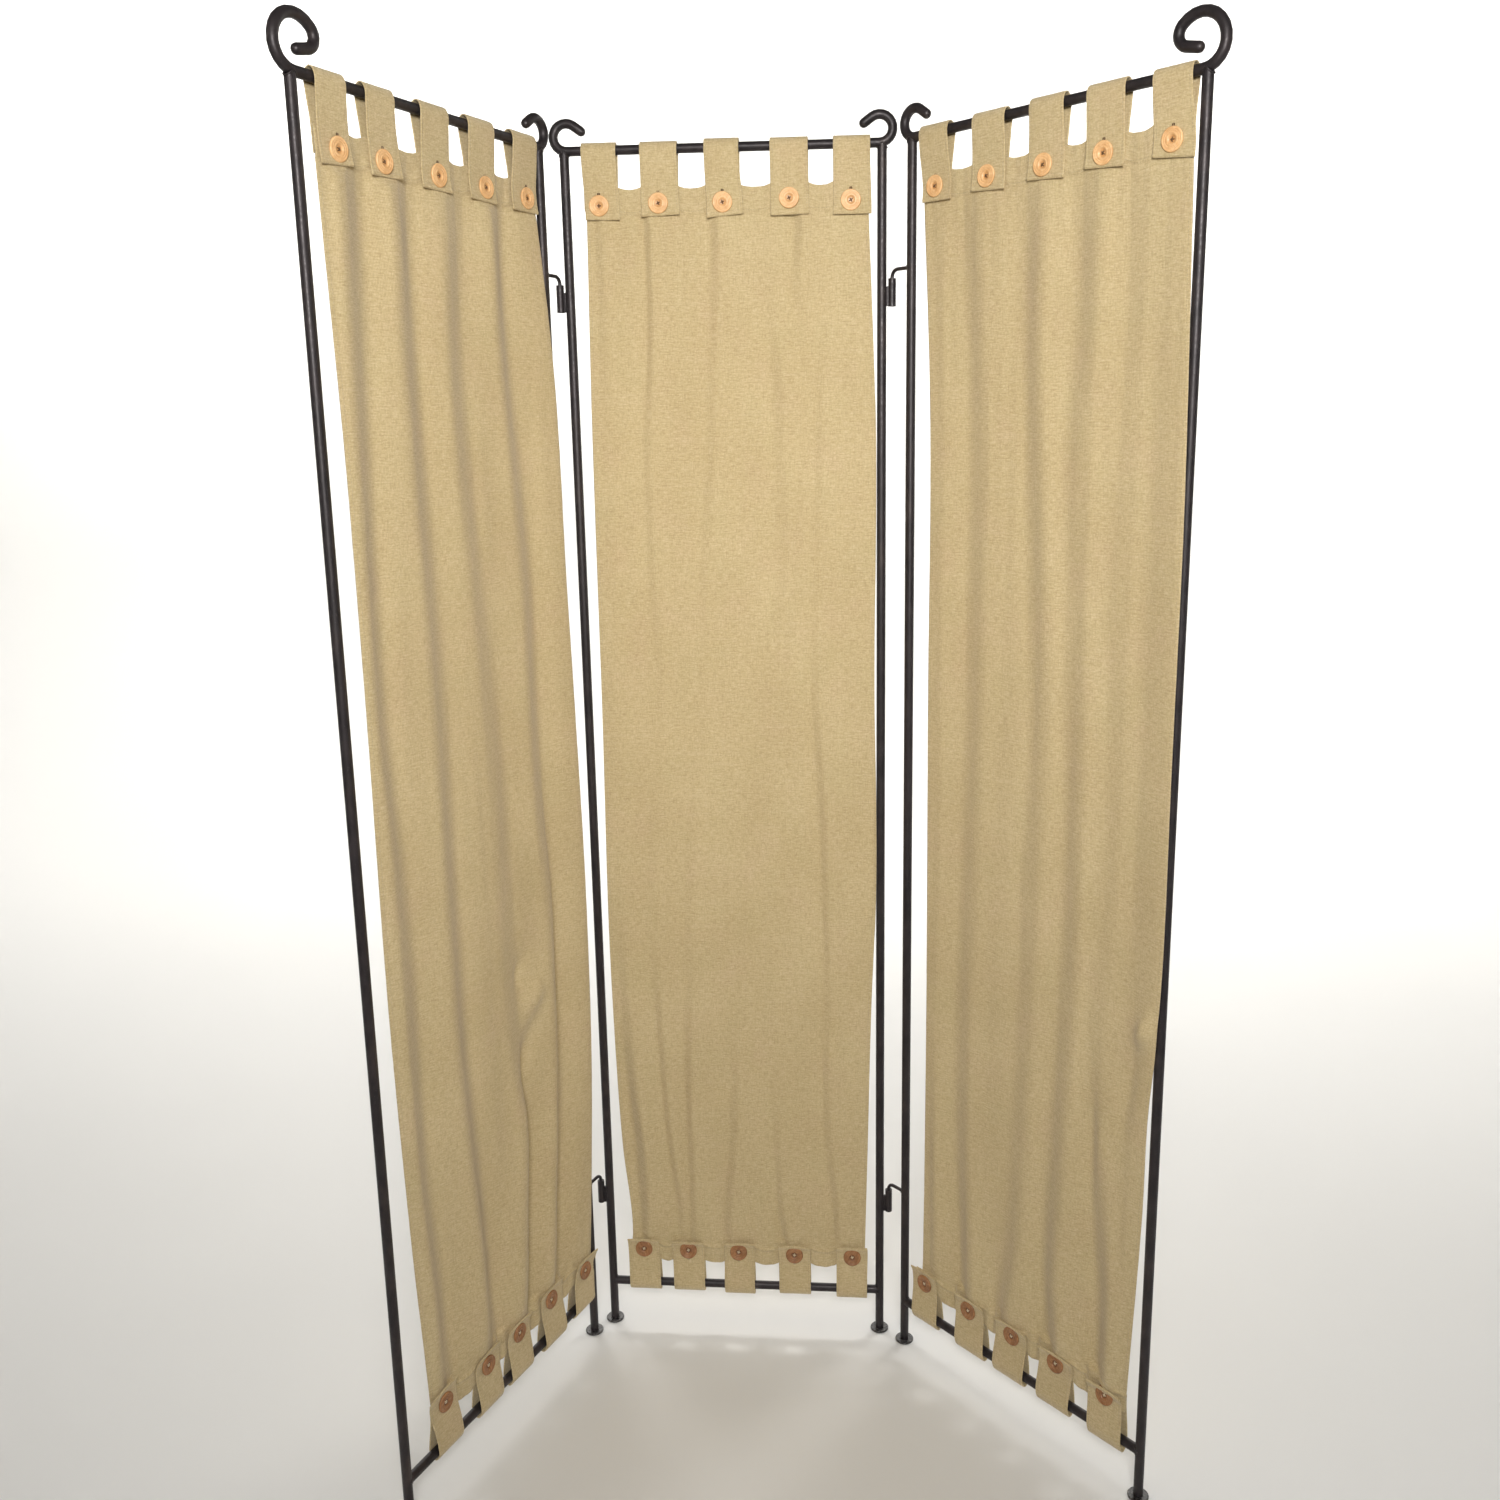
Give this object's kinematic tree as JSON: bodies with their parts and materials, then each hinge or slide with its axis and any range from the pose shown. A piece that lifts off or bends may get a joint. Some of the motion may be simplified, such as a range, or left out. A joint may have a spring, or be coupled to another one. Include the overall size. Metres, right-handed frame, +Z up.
{
  "type": "folding screen",
  "caption": "Folding screen of round iron frames with scrolled top rails, lift-off pintle hinges, and linen curtains held to the rails by buttoned tabs.",
  "frame": {"origin": "middle of the bounding box, at the floor", "axes": "+Z up; +X along the middle frame, to its right seen from the front; the front, where the tabs are buttoned, faces -Y"},
  "size_m": [0.988, 0.4664, 1.8293],
  "materials": {
    "iron": "satin",
    "foot": "gloss",
    "linen": "matte",
    "button_pale": "satin",
    "button_brown": "satin"
  },
  "bodies": {
    "middle_panel": {"middle_left_post": "iron", "middle_left_foot": "foot", "middle_right_post": "iron", "middle_right_foot": "foot", "middle_top_rail": "iron", "middle_bottom_rail": "iron", "middle_curtain": "linen", "middle_top_button_1": "button_pale", "middle_top_button_2": "button_pale", "middle_top_button_3": "button_pale", "middle_top_button_4": "button_pale", "middle_top_button_5": "button_pale", "middle_bottom_button_1": "button_brown", "middle_bottom_button_2": "button_brown", "middle_bottom_button_3": "button_brown", "middle_bottom_button_4": "button_brown", "middle_bottom_button_5": "button_brown", "upper_left_hinge_barrel": "iron", "upper_right_hinge_barrel": "iron", "lower_left_hinge_barrel": "iron", "lower_right_hinge_barrel": "iron"},
    "left_panel": {"left_outer_post": "iron", "left_outer_foot": "foot", "left_inner_post": "iron", "left_inner_foot": "foot", "left_top_rail": "iron", "left_bottom_rail": "iron", "left_curtain": "linen", "left_top_button_1": "button_pale", "left_top_button_2": "button_pale", "left_top_button_3": "button_pale", "left_top_button_4": "button_pale", "left_top_button_5": "button_pale", "left_bottom_button_1": "button_brown", "left_bottom_button_2": "button_brown", "left_bottom_button_3": "button_brown", "left_bottom_button_4": "button_brown", "left_bottom_button_5": "button_brown", "upper_left_pintle": "iron", "lower_left_pintle": "iron"},
    "right_panel": {"right_inner_post": "iron", "right_inner_foot": "foot", "right_outer_post": "iron", "right_outer_foot": "foot", "right_top_rail": "iron", "right_bottom_rail": "iron", "right_curtain": "linen", "right_top_button_1": "button_pale", "right_top_button_2": "button_pale", "right_top_button_3": "button_pale", "right_top_button_4": "button_pale", "right_top_button_5": "button_pale", "right_bottom_button_1": "button_brown", "right_bottom_button_2": "button_brown", "right_bottom_button_3": "button_brown", "right_bottom_button_4": "button_brown", "right_bottom_button_5": "button_brown", "upper_right_pintle": "iron", "lower_right_pintle": "iron"}
  },
  "joints": [
    {"name": "left_fold", "type": "hinge", "parent": "middle_panel", "child": "left_panel", "pos_m": [-0.31141, 0.21922, 0.9], "axis": [0, 0, 1], "range_deg": [-173.5, 61.5]},
    {"name": "right_fold", "type": "hinge", "parent": "middle_panel", "child": "right_panel", "pos_m": [0.14119, 0.21922, 0.9], "axis": [0, 0, 1], "range_deg": [-61.3, 173.7]}
  ]
}
